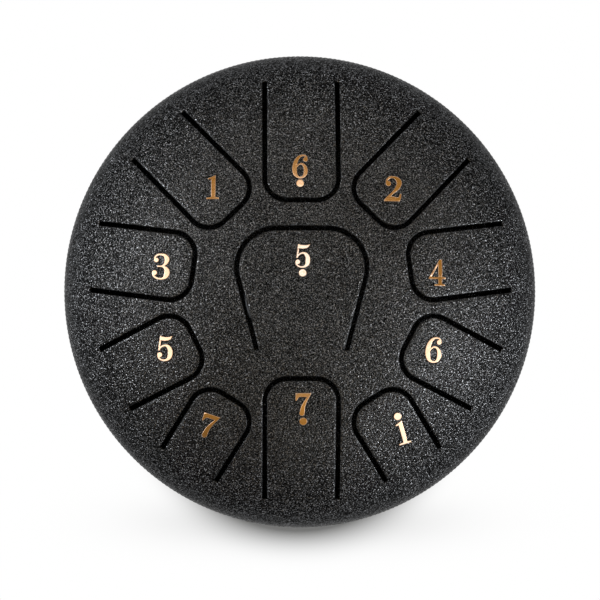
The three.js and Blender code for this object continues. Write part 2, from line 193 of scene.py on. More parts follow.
# Painted shade and light: the tone is darker in the grain's pits and towards the rim, and paler on its lumps
# and at slot edges
shade = (grain - 0.5) * (0.94 + brow * 0.76) + 0.46 - rim * 0.07 + mottle * 0.08 + edge * 0.05
tone = wire.node(
    "ShaderNodeValToRGB",
    {"Fac": shade},
    {
        "stops": [
            (0.37, (0.0022, 0.0023, 0.0025)),
            (0.48, (0.0099, 0.0102, 0.0106)),
            (0.6, (0.06, 0.0618, 0.064)),
            (0.7, (0.187, 0.192, 0.199)),
        ],
    },
)
glints = wire.node(
    "ShaderNodeMapRange", {"Value": specks, "From Min": 0.62, "From Max": 0.73, "To Max": 0.9}
)
pale = wire.node("ShaderNodeMix", {0: glints, 6: tone, 7: GLINT_COLOUR}, {"data_type": "RGBA"}, 2)
ridges = (sand * 0.5 + lumps * (1.2 + rim)) * (1 - edge * 0.8)
relief = wire.node("ShaderNodeBump", {"Height": ridges, "Strength": 1.0, "Distance": 0.3 * MM})
coat_shader = wire.node(
    "ShaderNodeBsdfPrincipled",
    {
        "Base Color": pale,
        "Metallic": 0.75 + glints * 0.25,
        "Roughness": 0.52 - grain * 0.3 - edge * 0.1 - glints * 0.1,
        "IOR": 1.12,
        "Specular Tint": (0.39, 0.39, 0.39, 1),
        "Normal": relief,
    },
)
wire.node("ShaderNodeOutputMaterial", {"Surface": coat_shader})

# The hole's lip is rounded over half of the wall's thickness
lip_slope = np.arcsin((SOUND_HOLE_RADIUS + WALL / 2) / (CROWN_RADIUS - WALL / 2))
lip_out = np.array([np.sin(lip_slope), np.cos(lip_slope)])
lip_in = np.array([-np.cos(lip_slope), np.sin(lip_slope)])
lip_turn = np.linspace(np.pi, 0, LIP_STEPS)[1:-1, None]
lip_centre = np.array([0, CROWN_CENTRE]) + (CROWN_RADIUS - WALL / 2) * lip_out
lip = lip_centre + WALL / 2 * (np.cos(lip_turn) * lip_out + np.sin(lip_turn) * lip_in)
lower_profile = np.concatenate(
    [
        face_profile(0, lip_slope, WELD_GROOVE, FACE_STEPS),
        [[RIM_RADIUS - WELD_GROOVE, 0]],
        face_profile(WALL, lip_slope, 0, FACE_STEPS)[::-1],
        lip,
    ]
)
lower_profile[:, 1] = SEAM_Z - lower_profile[:, 1]
lower_shell = new_piece("lower_shell", *turned(lower_profile, TURN_STEPS), coat, "coated_steel")
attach(lower_shell, "drum")
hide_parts("bottom_shell")


# Upper shell and tongues: the same steel pressing, crown up, pierced by eleven U-shaped slots, whose edges
# the coat rounds over. A tongue is the sheet inside a slot, made here as a fixed piece of its own; on the
# drum it bends at the root line between the slot's two ends. The rim lies on the lower shell's.
SLOT_WIDTH = 1.4 * MM
EDGE_ROUND = 0.22 * MM
FAN_CENTRE = np.array([0, 1.9]) * MM
CORNER_RADIUS = 7 * MM
CENTRE_TONGUE = {
    "tip": np.array([0, 19]) * MM,
    "along": np.array([0, -1]),
    "length": 37.9 * MM,
    "tip_width": 47.7 * MM,
    "root_width": 28 * MM,
    "corner": 12.3 * MM,
}
SHEET_RADIUS = 70 * MM
SHEET_PITCH = 1.3 * MM
LATTICE_REACH = 80
MERGE_DISTANCE = 1e-5
TOLERANCE = 1e-9
EDGE_ROWS = EDGE_ROUND * (1 - np.cos(np.radians([22.5, 45, 67.5, 90])))
OUTER_ROW = 0.8 * MM
LEG_STEPS = 36
ARC_STEPS = 22
TIP_STEPS = 20
ROOT_STEPS = 24
CAP_STEPS = 4
RIM_STEPS = 36
BEND_START = 1 * MM
BEND_END = 5 * MM


def dome_height(radius, inset=0.0):
    """Height above the seam of the face that lies inset below the pressing's outer face: the crown's sphere
    out to where it meets the knuckle, and then the knuckle's circle."""
    crown = CROWN_RADIUS - inset
    knuckle = KNUCKLE_RADIUS - inset
    cap = CROWN_CENTRE + np.sqrt(np.maximum(crown**2 - radius**2, 0))
    roll = np.sqrt(np.maximum(knuckle**2 - (radius - KNUCKLE_CENTRE) ** 2, 0))
    return np.where(radius <= crown * np.sin(CROWN_ANGLE), cap, roll)


def outer_tongue(azimuth, root_inset, tip_radius, width):
    """A tongue whose root's middle is at azimuth, root_inset in from the rim. Its centre line runs from
    there to the fan centre, and its slot's tip is tip_radius from the drum's axis."""
    turn = np.radians(azimuth)
    root = (RIM_RADIUS - root_inset) * np.array([np.cos(turn), np.sin(turn)])
    along = (root - FAN_CENTRE) / np.linalg.norm(root - FAN_CENTRE)
    nearest = FAN_CENTRE @ along
    tip = FAN_CENTRE + (np.sqrt(nearest**2 + tip_radius**2 - FAN_CENTRE @ FAN_CENTRE) - nearest) * along
    length = np.linalg.norm(root - tip)
    sizes = {"length": length, "tip_width": width, "root_width": width, "corner": CORNER_RADIUS}
    return {"tip": tip, "along": along, **sizes}


# How far in from the rim the roots of a like-sized pair lie, the radius of its slots' tips, and its width
LOW_PAIR = (9.9 * MM, 27.8 * MM, 23 * MM)
FAR_PAIR = (9.1 * MM, 32 * MM, 21.8 * MM)
UPPER_PAIR = (9.9 * MM, 34.4 * MM, 21.3 * MM)
LOWER_PAIR = (10.8 * MM, 36.8 * MM, 21.1 * MM)
NEAR_PAIR = (10.4 * MM, 40.5 * MM, 20 * MM)
TONGUES = {
    "low_5": CENTRE_TONGUE,
    "low_6": outer_tongue(90, *LOW_PAIR),
    "low_7": outer_tongue(-90, *LOW_PAIR),
    "1": outer_tongue(180 - 47.2, *FAR_PAIR),
    "2": outer_tongue(47.2, *FAR_PAIR),
    "3": outer_tongue(180 - 9.3, *UPPER_PAIR),
    "4": outer_tongue(9.3, *UPPER_PAIR),
    "5": outer_tongue(180 + 25.6, *LOWER_PAIR),
    "6": outer_tongue(-25.6, *LOWER_PAIR),
    "7": outer_tongue(180 + 57.3, *NEAR_PAIR),
    "high_1": outer_tongue(-57.3, *NEAR_PAIR),
}


def from_tongue(tongue, points):
    """Points along and across a tongue as points of the drum's plan."""
    across = np.array([-tongue["along"][1], tongue["along"][0]])
    return tongue["tip"] + points[:, :1] * tongue["along"] + points[:, 1:] * across


def to_tongue(tongue, plan):
    """Points of the drum's plan as distances along and across a tongue."""
    across = np.array([-tongue["along"][1], tongue["along"][0]])
    return (plan - tongue["tip"]) @ tongue["along"], (plan - tongue["tip"]) @ across


def slot_corner(tongue):
    """A tongue's tip corner: the lean of its legs, its arc's centre, and the directions along and square to
    the leg that leaves it."""
    lean = np.arctan2((tongue["root_width"] - tongue["tip_width"]) / 2, tongue["length"])
    inward = tongue["corner"] * np.tan(np.pi / 4 - lean / 2)
    centre = np.array([tongue["corner"], tongue["tip_width"] / 2 - inward])
    return lean, centre, np.array([np.cos(lean), np.sin(lean)]), np.array([-np.sin(lean), np.cos(lean)])


def slot_line(tongue, spread, overrun=0.0):
    """The slot's middle line moved outwards by spread: up a straight leg from overrun past the root line,
    round the corner's arc, across the tip, and back down the mirror image of that half."""
    lean, centre, leg, square = slot_corner(tongue)
    radius = tongue["corner"] + spread
    leg_length = (tongue["length"] + overrun - tongue["corner"] + radius * np.sin(lean)) / np.cos(lean)
    leg_points = centre + radius * square + np.linspace(leg_length, 0, LEG_STEPS)[:-1, None] * leg
    turn = np.linspace(np.pi / 2 + lean, np.pi, ARC_STEPS)[:-1]
    arc_points = centre + radius * np.stack([np.cos(turn), np.sin(turn)], axis=1)
    half = np.concatenate([leg_points, arc_points])
    across_tip = np.linspace(centre[1], -centre[1], TIP_STEPS)
    tip_points = np.stack([np.full(TIP_STEPS, -spread), across_tip], axis=1)
    return np.concatenate([half, tip_points, half[::-1] * [1, -1]])


def slot_distance(tongue, plan):
    """Distance from points of the plan to a tongue's slot, below zero inside it: the least of those to the
    tip line, to the corner arcs and to the legs, which end square at the root line, less half the slot's
    width."""
    along, across = to_tongue(tongue, plan)
    _, centre, leg, square = slot_corner(tongue)
    from_centre = np.stack([along - centre[0], np.abs(across) - centre[1]], axis=1)
    run = from_centre @ leg
    aside = np.abs(from_centre @ square - tongue["corner"]) - SLOT_WIDTH / 2
    past_root = along - tongue["length"]
    beyond = np.hypot(past_root, np.maximum(aside, 0))
    to_leg = np.where(past_root > 0, beyond, np.where(run >= 0, aside, np.inf))
    in_arc = (run <= 0) & (from_centre[:, 1] >= 0)
    to_arc = np.abs(np.linalg.norm(from_centre, axis=1) - tongue["corner"]) - SLOT_WIDTH / 2
    to_tip = np.hypot(along, np.maximum(from_centre[:, 1], 0)) - SLOT_WIDTH / 2
    return np.minimum(np.minimum(to_leg, to_tip), np.where(in_arc, to_arc, np.inf))


def inside_tongue(tongue, plan):
    """Which points of the plan lie within a slot's middle line and short of the root line."""
    along, across = to_tongue(tongue, plan)
    _, centre, _, square = slot_corner(tongue)
    from_centre = np.stack([along - centre[0], np.abs(across) - centre[1]], axis=1)
    within_sides = from_centre @ square < tongue["corner"]
    cut_corner = (from_centre[:, 0] < 0) & (from_centre[:, 1] > 0)
    within_corner = ~cut_corner | (np.linalg.norm(from_centre, axis=1) < tongue["corner"])
    return (along > 0) & (along < tongue["length"]) & within_sides & within_corner


def slot_rows(tongue):
    """Rows of points beside both edges of a slot, and round its square ends, for the rounding to follow."""
    rows = []
    for row in [*EDGE_ROWS, OUTER_ROW]:
        spread = SLOT_WIDTH / 2 + row
        outer = slot_line(tongue, spread, row)
        inner = slot_line(tongue, -spread, row)
        share = np.linspace(0, 1, CAP_STEPS + 2)[1:-1, None]
        caps = [outer[end] * (1 - share) + inner[end] * share for end in (0, -1)]
        rows += [outer, inner, *caps]
    return from_tongue(tongue, np.concatenate(rows))


def slot_edges(tongue):
    """The closed outline of a slot and the root line, as points of the plan and the links between them."""
    outer = slot_line(tongue, SLOT_WIDTH / 2)
    inner = slot_line(tongue, -SLOT_WIDTH / 2)
    root = np.linspace(inner[0], inner[-1], ROOT_STEPS)[1:-1]
    loop = np.arange(len(outer) + len(inner))
    links = np.stack([loop, np.roll(loop, -1)], axis=1)
    chain = np.concatenate([loop[-1:], len(loop) + np.arange(len(root)), [len(outer)]])
    points = from_tongue(tongue, np.concatenate([outer, inner[::-1], root]))
    return points, np.concatenate([links, np.stack([chain[:-1], chain[1:]], axis=1)])


def triangulated(points, links):
    """The Delaunay triangles of a plan, which keep to its links and are wound anticlockwise. They are worked
    out in millimetres."""
    made = delaunay_2d_cdt((points / MM).tolist(), links.tolist(), [], 0, MERGE_DISTANCE)
    plan = np.array(made[0]) * MM
    triangles = np.array(made[2])
    first, second, third = (plan[triangles[:, corner]] for corner in range(3))
    side = second - first
    other = third - first
    clockwise = side[:, 0] * other[:, 1] < side[:, 1] * other[:, 0]
    triangles[clockwise] = triangles[clockwise, ::-1]
    return plan, triangles


def open_edges(triangles):
    """The edges that only one triangle has, each in that triangle's direction."""
    edges = np.concatenate([triangles[:, [0, 1]], triangles[:, [1, 2]], triangles[:, [2, 0]]])
    low, high = edges.min(axis=1), edges.max(axis=1)
    _, number, count = np.unique(low * (high.max() + 1) + high, return_inverse=True, return_counts=True)
    return edges[count[number] == 1]


# The sheet's plan: its slots, the rows beside them and an even lattice between
azimuth = np.arange(TURN_STEPS) * 2 * np.pi / TURN_STEPS
circle = SHEET_RADIUS * np.stack([np.cos(azimuth), np.sin(azimuth)], axis=1)
count = np.arange(-LATTICE_REACH, LATTICE_REACH + 1)
column, row = np.meshgrid(count, count)
lattice = SHEET_PITCH * np.stack([(column + row % 2 / 2).ravel(), (row * np.sqrt(3) / 2).ravel()], axis=1)
lattice = lattice[np.linalg.norm(lattice, axis=1) < SHEET_RADIUS - SHEET_PITCH / 2]
for tongue in TONGUES.values():
    along, across = to_tongue(tongue, lattice)
    near_root = np.abs(along - tongue["length"]) < SHEET_PITCH / 3
    by_root = near_root & (np.abs(across) < tongue["root_width"] / 2)
    by_slot = slot_distance(tongue, lattice) < OUTER_ROW + SHEET_PITCH / 3
    lattice = lattice[~(by_root | by_slot)]
plan_points = [circle]
plan_links = []
for tongue in TONGUES.values():
    edge_points, links = slot_edges(tongue)
    plan_links.append(links + sum(len(points) for points in plan_points))
    plan_points.append(edge_points)
plan_points += [slot_rows(tongue) for tongue in TONGUES.values()] + [lattice]
plan, triangles = triangulated(np.concatenate(plan_points), np.concatenate(plan_links))

# Its two faces: the upper one dips in a quarter circle to each slot's edge
radius = np.linalg.norm(plan, axis=1)
edge_distance = np.min([slot_distance(tongue, plan) for tongue in TONGUES.values()], axis=0)
short_of_flat = EDGE_ROUND - np.clip(edge_distance, 0, EDGE_ROUND)
dip = EDGE_ROUND - np.sqrt(EDGE_ROUND**2 - short_of_flat**2)
upper_face = np.column_stack([plan, SEAM_Z + dome_height(radius) - dip])
under_face = np.column_stack([plan, SEAM_Z + dome_height(radius, WALL)])
middle = plan[triangles].mean(axis=1)
solid = np.min([slot_distance(tongue, middle) for tongue in TONGUES.values()], axis=0) > 0


def sheet(chosen, keep_open=None):
    """The sheet over the chosen triangles: both faces, and a wall down each open edge but those kept open.
    The numbers that its points have in the plan come first."""
    used, corners = np.unique(chosen, return_inverse=True)
    over = corners.reshape(-1, 3)
    under = over[:, ::-1] + len(used)
    edges = open_edges(over)
    if keep_open is not None:
        edges = edges[~keep_open[used[edges]].all(axis=1)]
    start, end = edges.T
    walls = np.stack([start + len(used), end + len(used), end, start], axis=1)
    return used, np.concatenate([upper_face[used], under_face[used]]), [over, under, walls]


def mark_edges(piece, used):
    """Gives the points of a sheet's upper face a slot_edge value, e to the minus square of the distance from
    the nearest slot, as a share of the edge's rounding."""
    values = np.zeros(len(piece.data.vertices), np.float32)
    values[: len(used)] = np.exp(-((edge_distance[used] / EDGE_ROUND) ** 2))
    piece.data.attributes.new("slot_edge", "FLOAT", "POINT").data.foreach_set("value", values)


in_blade = np.zeros(len(triangles), bool)
for note, tongue in TONGUES.items():
    own = inside_tongue(tongue, middle)
    in_blade |= own
    used, points, faces = sheet(triangles[own & solid])
    blade = new_piece(f"blade_{note}", points, faces, coat, "coated_steel")
    mark_edges(blade, used)
    root = tongue["tip"] + tongue["length"] * tongue["along"]
    bend = [Vector((*(root + reach * tongue["along"]), SEAM_Z)) for reach in (BEND_START, -BEND_END)]
    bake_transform(blade)
    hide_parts(f"tongue_{note}")

# The web between the tongues runs on over the knuckle, down to the seam and back up inside
on_circle = radius > SHEET_RADIUS - TOLERANCE
used, points, faces = sheet(triangles[solid & ~in_blade], on_circle)
ring = np.flatnonzero(on_circle[used])
ring = ring[np.argsort(np.arctan2(points[ring, 1], points[ring, 0]))]
rim_azimuth = np.arctan2(points[ring, 1], points[ring, 0])
outer_slope = np.arcsin((SHEET_RADIUS - KNUCKLE_CENTRE) / KNUCKLE_RADIUS)
inner_slope = np.arcsin((SHEET_RADIUS - KNUCKLE_CENTRE) / (KNUCKLE_RADIUS - WALL))
rim_profile = np.concatenate(
    [
        face_profile(0, outer_slope, WELD_GROOVE, RIM_STEPS)[1:],
        [[RIM_RADIUS - WELD_GROOVE, 0]],
        face_profile(WALL, inner_slope, 0, RIM_STEPS)[:0:-1],
    ]
)
rim_points = np.stack(
    [
        np.outer(rim_profile[:, 0], np.cos(rim_azimuth)),
        np.outer(rim_profile[:, 0], np.sin(rim_azimuth)),
        np.repeat(SEAM_Z + rim_profile[:, 1:], len(ring), axis=1),
    ],
    axis=-1,
)
rim_index = len(points) + np.arange(rim_points[..., 0].size).reshape(rim_points.shape[:2])
rim_index = np.concatenate([ring[None], rim_index, ring[None] + len(used)])
faces.append(grid_faces(rim_index, wrap_rows=False))
points = np.concatenate([points, rim_points.reshape(-1, 3)])
upper_shell = new_piece("upper_shell", points, faces, coat, "coated_steel")
mark_edges(upper_shell, used)
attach(upper_shell, "drum")
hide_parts("top_shell")


# Weld bead: a low ridge of weld metal that fills the groove round the two rims and holds the shells
# together. It is laid in one pass, so it has fine ripples, which the coat half hides.
BEAD_REACH = 1.15 * MM
BEAD_CROWN = 0.22 * MM
BEAD_ROOT = 0.9 * MM
BEAD_SINK = 0.02 * MM
RIPPLE_DEPTH = 0.05 * MM
RIPPLE_PITCH = 1.5 * MM
RIPPLE_LAG = 1.5
RIPPLE_STEPS = 6
BEAD_STEPS = 13
ripples = round(2 * np.pi * RIM_RADIUS / RIPPLE_PITCH)
turn = (np.arange(ripples * RIPPLE_STEPS) * 2 * np.pi / (ripples * RIPPLE_STEPS))[:, None]
rise = np.linspace(-1, 1, BEAD_STEPS)[None]
# The bead's face stands crown (1 - v^2) proud of the rim, plus a ripple that lags towards its edges
swell = 1 - rise**2
ripple = RIPPLE_DEPTH * swell * np.cos(ripples * turn + RIPPLE_LAG * rise**2)
shell_face = KNUCKLE_CENTRE + np.sqrt(KNUCKLE_RADIUS**2 - (BEAD_REACH * rise) ** 2)
bead_radius = shell_face - BEAD_SINK + (BEAD_CROWN - RIPPLE_DEPTH) * swell + ripple
bead_radius = np.concatenate([bead_radius, np.full((len(turn), 1), RIM_RADIUS - BEAD_ROOT)], axis=1)
bead_height = SEAM_Z + np.append(BEAD_REACH * rise[0], 0)
bead_points = np.stack(
    [
        bead_radius * np.cos(turn),
        bead_radius * np.sin(turn),
        np.broadcast_to(bead_height, bead_radius.shape),
    ],
    axis=-1,
)
bead_index = np.arange(bead_radius.size).reshape(bead_radius.shape)
weld_bead = new_piece(
    "weld_bead", bead_points.reshape(-1, 3), [grid_faces(bead_index)], coat, "coated_steel"
)
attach(weld_bead, "drum")
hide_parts("seam_weld")


# Numerals and dots: thin gold metal transfers, pressed on by hand, one on each tongue, with a dot below for
# the low octave and above for the high one. They follow the dome, and their edges are slightly rounded.
NUMERAL_HEIGHT = 8 * MM
LOW_NUMERAL_HEIGHT = 7.5 * MM
NUMERAL_THICKNESS = 0.22 * MM
NUMERAL_SINK = 0.05 * MM
NUMERAL_ROUND = 0.09 * MM
DOT_DIAMETER = 2.35 * MM
DOT_SPACING = 5.3 * MM
NUMERAL_INNER_ROW = 0.13 * MM
NUMERAL_ROWS = [*NUMERAL_ROUND * (1 - np.cos(np.radians([30, 60, 90]))), NUMERAL_INNER_ROW]
ROW_CLEARANCE = 0.85
PEN_STEPS = 8
PLATE_STEPS = 6
BALL_STEPS = 40

# The gold is bright on its level face. On its rounded edge it is rougher, and deeper and darker in colour,
# painted shade that dims the lamps' highlights there
EDGE_SHADE_GOLD = (0.5, 0.28, 0.12, 1)
gold, wire = new_finish("gold_transfer")
place = wire.node("ShaderNodeTexCoord", output="Object")
rounded_edge = wire.node("ShaderNodeAttribute", settings={"attribute_name": "transfer_edge"}, output="Fac")
waves = wire.node("ShaderNodeTexNoise", {"Vector": place, "Scale": 420, "Detail": 2, "Roughness": 0.5})
grime = wire.node("ShaderNodeTexNoise", {"Vector": place, "Scale": 1600, "Detail": 3, "Roughness": 0.65})
gold_tone = wire.node(
    "ShaderNodeValToRGB",
    {"Fac": grime},
    {"stops": [(0.3, (0.79, 0.55, 0.36)), (0.65, (0.88, 0.65, 0.51))]},
)
# Painted shade: the gold's colour turns darker and deeper on its rounded edge
deeper = wire.node("ShaderNodeMix", {0: rounded_edge * 0.7, 6: gold_tone, 7: EDGE_SHADE_GOLD}, {"data_type": "RGBA"}, 2)
gold_relief = wire.node("ShaderNodeBump", {"Height": waves, "Strength": 1.0, "Distance": 0.012 * MM})
gold_shader = wire.node(
    "ShaderNodeBsdfPrincipled",
    {
        "Base Color": deeper,
        "Metallic": 1.0,
        "Roughness": 0.1 + grime * 0.12 + rounded_edge * 0.35,
        "Normal": gold_relief,
    },
)
wire.node("ShaderNodeOutputMaterial", {"Surface": gold_shader})

# Digits in hundredths of their height from their centre. A pen stroke is a row of [x, y, width] that a
# smooth line goes through, a ball is [x, y, radius], and a plate is a straight-sided outline.
DIGITS = {
    1: {
        "plates": [
            [[-6, -42], [10.5, -42], [11.5, 48], [6, 44.5], [-8.5, 38.5], [-18, 35], [-18, 30.5], [-6, 31]],
            [[-24.5, -48], [24.5, -48], [24.5, -42], [12.5, -40], [-7.5, -40], [-24.5, -42]],
        ],
    },
    2: {
        "strokes": [
            [
                [-25.5, 21.5, 5.5], [-22, 36, 7], [-10.5, 45, 8], [2, 45.5, 8.5], [16.5, 39, 15.5],
                [25, 25, 21], [21.5, 10, 18], [10, -5.5, 12.5], [-5, -20, 9], [-20.5, -34.5, 8.5],
                [-32, -45.5, 7.5],
            ],
        ],
        "balls": [[-18, 20.5, 10.5]],
        "plates": [
            [
                [-36, -46], [-36, -50], [26.5, -50], [31.5, -36], [33.5, -20.5], [27.5, -20.5], [24, -31],
                [19, -35], [6, -32.5], [-8, -30.5], [-22, -34],
            ],
        ],
    },
    3: {
        "strokes": [
            [
                [-22.5, 25.5, 5.5], [-20.5, 38, 6.5], [-10, 46, 7.5], [3, 47, 7.5], [17, 42.5, 12],
                [25.5, 29, 18.5], [22, 14.5, 14.5], [13, 5, 8], [3, 1, 6], [-9, 1, 6],
            ],
            [
                [1, 1.5, 5], [14.5, -3, 9.5], [24, -14.5, 18.5], [25, -27.5, 21], [20, -39.5, 17],
                [10, -46.5, 9], [-3, -48, 7], [-17.5, -44.5, 7], [-27.5, -36, 7], [-31, -24.5, 6.5],
            ],
        ],
        "balls": [[-16.5, 25.5, 9], [-24, -24.5, 10], [-9.5, 1, 3.5]],
    },
    4: {
        "plates": [
            [[4.5, -47.5], [20, -47.5], [20, 51.5], [9.5, 51.5], [4.5, 43.5]],
            [[-11, -51.5], [31, -51.5], [31, -46], [20.5, -43.5], [4, -43.5], [-11, -46]],
            [[-34, -25], [33.5, -25], [33.5, -17], [-32, -17]],
            [[-34, -25], [-24.5, -18.5], [8, 37], [19.5, 51.5], [9.5, 51.5], [-34, -21.5]],
        ],
    },
    5: {
        "plates": [
            [
                [-18.5, 49.5], [-8, 46], [6, 44], [19, 45], [31, 48.5], [24.5, 36], [14.5, 31], [0, 29],
                [-14, 31], [-19, -8.5], [-26, -8.5],
            ],
        ],
        "strokes": [
            [
                [-21, -3, 5], [-17, 3, 6], [-9, 9, 7], [2, 11.5, 8], [13, 7, 13.5], [21, -6.5, 18],
                [21.5, -20.5, 19], [18.5, -34, 16], [9, -44, 10], [-3, -46.5, 7.5], [-16, -43.5, 7],
                [-25, -35, 7], [-26.8, -25, 6.4],
            ],
        ],
        "balls": [[-20, -25, 10]],
    },
    6: {
        "strokes": [
            [
                [29, 30, 5.5], [28, 38.5, 6], [21, 45.5, 6.5], [9.5, 47, 7], [-4.5, 40.5, 10.5],
                [-16, 24, 16], [-22, 1.5, 19.5], [-22.5, -18.5, 19], [-18, -35.5, 14.5],
                [-7.5, -45, 9.5], [1, -47, 7],
            ],
            [
                [-3, -47, 7], [1, -47, 7], [12, -44, 9.5], [20.5, -32.5, 14.5], [23.5, -17.5, 16.5],
                [20.5, -2, 13.5], [12, 9, 9], [1.5, 11.5, 6.5], [-8, 6, 5.5], [-15, -3, 4],
            ],
        ],
        "balls": [[22.5, 30, 9.5]],
    },
    7: {
        "plates": [
            [[-32.5, 48], [32.5, 48], [25.5, 31.5], [-15, 31.5], [-21, 28], [-28, 15.5], [-32.5, 15.5]],
        ],
        "strokes": [[[22.5, 37, 8.5], [19, 30, 9], [10.5, 15.5, 10.5], [-1, -10.5, 16], [-5.5, -37, 21]]],
        "balls": [[-5.5, -37, 10.5]],
    },
}

# Each numeral's digit, whether its dot lies below (-1) or above (1), its centre along and across from the
# tongue's tip, and its turn in degrees
NUMERALS = {
    "low_5": (5, -1, 8.7 * MM, 0.2 * MM, 0),
    "low_6": (6, -1, 10.6 * MM, 0.5 * MM, 0),
    "low_7": (7, -1, 8.1 * MM, 0.5 * MM, 0),
    "1": (1, 0, 10.4 * MM, -0.9 * MM, 0),
    "2": (2, 0, 10.6 * MM, 0, 0),
    "3": (3, 0, 10.3 * MM, 0.6 * MM, 0),
    "4": (4, 0, 8.4 * MM, -2.3 * MM, 0),
    "5": (5, 0, 9.7 * MM, -1.4 * MM, 0),
    "6": (6, 0, 8.6 * MM, 0.3 * MM, 0),
    "7": (7, 0, 11.3 * MM, -1.1 * MM, -18),
    "high_1": (1, 1, 14.3 * MM, 2.3 * MM, 17),
}


def pen_outline(stroke):
    """Both edges of a pen stroke: a centripetal Catmull-Rom line through its points, moved to either side,
    square to its direction, by half of its width there."""
    knots = np.array(stroke, float)
    knots = np.vstack([2 * knots[0] - knots[1], knots, 2 * knots[-1] - knots[-2]])
    step = np.diff(knots, axis=0)
    gap = np.sqrt(np.linalg.norm(step, axis=1))[:, None]
    rate = step[:-1] / gap[:-1] + step[1:] / gap[1:] - (knots[2:] - knots[:-2]) / (gap[:-1] + gap[1:])
    begin, finish = knots[1:-2, None], knots[2:-1, None]
    leave, arrive = (rate[:-1] * gap[1:-1])[:, None], (rate[1:] * gap[1:-1])[:, None]
    t = np.linspace(0, 1, PEN_STEPS + 1)[:, None]
    line = begin * (2 * t**3 - 3 * t**2 + 1) + finish * (3 * t**2 - 2 * t**3)
    line = line + leave * (t**3 - 2 * t**2 + t) + arrive * (t**3 - t**2)
    speed = (finish - begin) * 6 * (t - t**2) + leave * (3 * t**2 - 4 * t + 1) + arrive * (3 * t**2 - 2 * t)
    line = np.concatenate([line[:, :-1].reshape(-1, 3), line[-1, -1:]])
    speed = np.concatenate([speed[:, :-1].reshape(-1, 3), speed[-1, -1:]])[:, :2]
    square = np.stack([-speed[:, 1], speed[:, 0]], axis=1) / np.linalg.norm(speed, axis=1)[:, None]
    offset = square * line[:, 2:] / 2
    return np.concatenate([line[:, :2] - offset, (line[:, :2] + offset)[::-1]])


def ball_outline(x, y, size):
    """A circle as a closed row of points."""
    turn = np.arange(BALL_STEPS) * 2 * np.pi / BALL_STEPS
    return np.array([x, y]) + size * np.stack([np.cos(turn), np.sin(turn)], axis=1)


def plate_outline(corners):
    """A straight-sided outline, with even steps along each side."""
    start = np.array(corners, float)[:, None]
    end = np.roll(start, -1, axis=0)
    share = (np.arange(PLATE_STEPS) / PLATE_STEPS)[:, None]
    return (start + (end - start) * share).reshape(-1, 2)


def covered(outlines, points):
    """Which points lie in any of the outlines: those that an outline winds round."""
    inside = np.zeros(len(points), bool)
    for outline in outlines:
        arm = outline[None] - points[:, None]
        ahead = np.roll(arm, -1, axis=1)
        cross = arm[..., 0] * ahead[..., 1] - arm[..., 1] * ahead[..., 0]
        turn = np.arctan2(cross, (arm * ahead).sum(axis=-1))
        inside |= np.abs(turn.sum(axis=1)) > np.pi
    return inside


def closed_links(outlines):
    """The links round each of several closed outlines whose points are numbered in one row."""
    links = []
    count = 0
    for outline in outlines:
        loop = count + np.arange(len(outline))
        links.append(np.stack([loop, np.roll(loop, -1)], axis=1))
        count += len(outline)
    return np.concatenate(links)


def edge_gap(start, end, points):
    """Distance from points to the nearest of the segments from start to end."""
    run = end - start
    share = ((points[:, None] - start) * run).sum(axis=-1) / (run**2).sum(axis=-1)
    nearest = start + np.clip(share, 0, 1)[..., None] * run
    return np.linalg.norm(points[:, None] - nearest, axis=-1).min(axis=1)


def transfer(outlines, place):
    """A transfer that covers several outlines, laid at place(points) of the plan: its face rises from the
    edge in a quarter circle, and then runs level with the dome. Its points' edge values come last, and fall
    from 1 at the outline to 0 where the face is level."""
    plan, triangles = triangulated(np.concatenate(outlines), closed_links(outlines))
    edges = open_edges(triangles[covered(outlines, plan[triangles].mean(axis=1))])
    start, end = plan[edges[:, 0]], plan[edges[:, 1]]
    run = (end - start) / np.linalg.norm(end - start, axis=1)[:, None]
    inward = np.zeros_like(plan)
    np.add.at(inward, edges.ravel(), np.repeat(np.stack([-run[:, 1], run[:, 0]], axis=1), 2, axis=0))
    rim = np.unique(edges)
    inward = inward[rim] / np.linalg.norm(inward[rim], axis=1)[:, None]
    rows = [plan[rim] + depth * inward for depth in NUMERAL_ROWS]
    kept = [row[edge_gap(start, end, row) > ROW_CLEARANCE * depth] for row, depth in zip(rows, NUMERAL_ROWS)]
    kept = [row[covered(outlines, row)] for row in kept]
    plan, triangles = triangulated(np.concatenate([plan[rim], *kept]), np.searchsorted(rim, edges))
    over = triangles[covered(outlines, plan[triangles].mean(axis=1))]
    short_of_flat = NUMERAL_ROUND - np.clip(edge_gap(start, end, plan), 0, NUMERAL_ROUND)
    face = NUMERAL_THICKNESS - NUMERAL_ROUND + np.sqrt(NUMERAL_ROUND**2 - short_of_flat**2)
    laid = place(plan)
    ground = SEAM_Z + dome_height(np.linalg.norm(laid, axis=1))
    upper = np.column_stack([laid, ground + face])
    lower = np.column_stack([laid, ground - NUMERAL_SINK])
    points = np.concatenate([upper, lower])
    begin, finish = open_edges(over).T
    walls = np.stack([begin + len(plan), finish + len(plan), finish, begin], axis=1)
    edge = np.concatenate([short_of_flat / NUMERAL_ROUND, np.ones(len(plan))])
    return points, [over, over[:, ::-1] + len(plan), walls], edge


def lay(tongue, along, across, turn):
    """Where a transfer's own points lie on the plan: turned, and moved to a point of the tongue."""
    cos, sin = np.cos(np.radians(turn)), np.sin(np.radians(turn))
    centre = from_tongue(tongue, np.array([[along, across]]))
    return lambda points: points @ np.array([[cos, sin], [-sin, cos]]) + centre


def gold_piece(name, outlines, place):
    """A transfer as a piece of gold, with its edge values as the attribute that its finish reads."""
    points, faces, edge = transfer(outlines, place)
    piece = new_piece(name, points, faces, gold, "gold_foil")
    values = piece.data.attributes.new("transfer_edge", "FLOAT", "POINT").data
    values.foreach_set("value", edge.astype(np.float32))
    return piece


